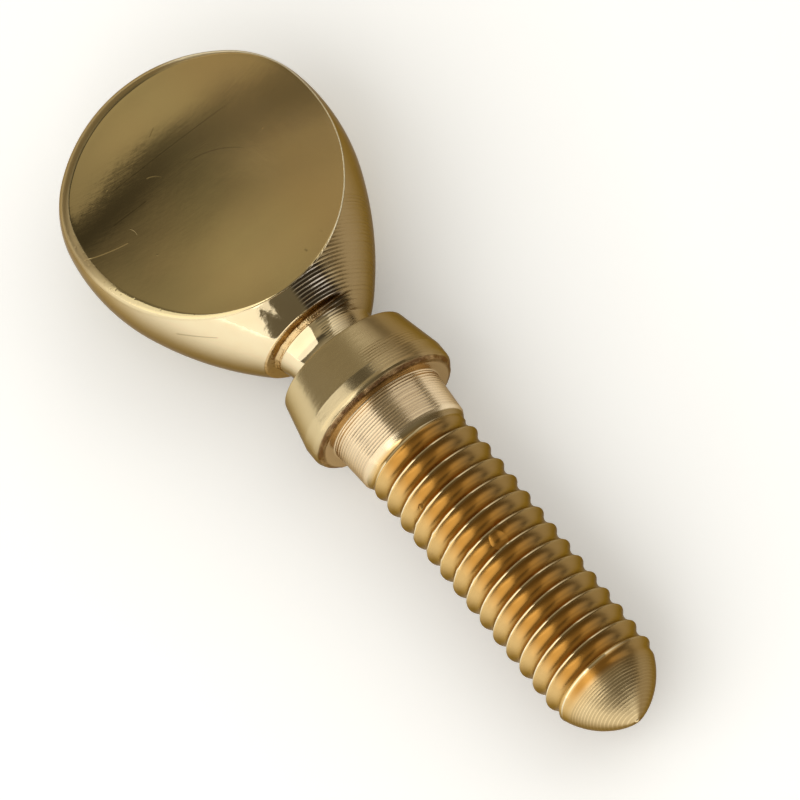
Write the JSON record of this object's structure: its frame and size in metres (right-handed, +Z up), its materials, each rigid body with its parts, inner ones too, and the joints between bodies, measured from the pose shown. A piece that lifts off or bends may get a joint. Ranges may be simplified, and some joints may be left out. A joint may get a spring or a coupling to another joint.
{
  "type": "saxophone neck screw",
  "caption": "Turned brass thumbscrew with an egg-shaped head, two scalloped thumb faces, a conical collar and a fine thread, which clamps a saxophone's neck in its receiver.",
  "frame": {"origin": "where the screw's axis meets the collar's seat", "axes": "+X along the lying screw towards its tip, +Z up, out of the upper thumb face; the screw lies as it rests, its axis dipping 1.30 degrees towards the tip"},
  "size_m": [0.0288, 0.01, 0.0058],
  "materials": {
    "brass": "polished and clear-lacquered, with turning marks"
  },
  "bodies": {
    "root": {"neck_screw": "brass"}
  },
  "joints": []
}
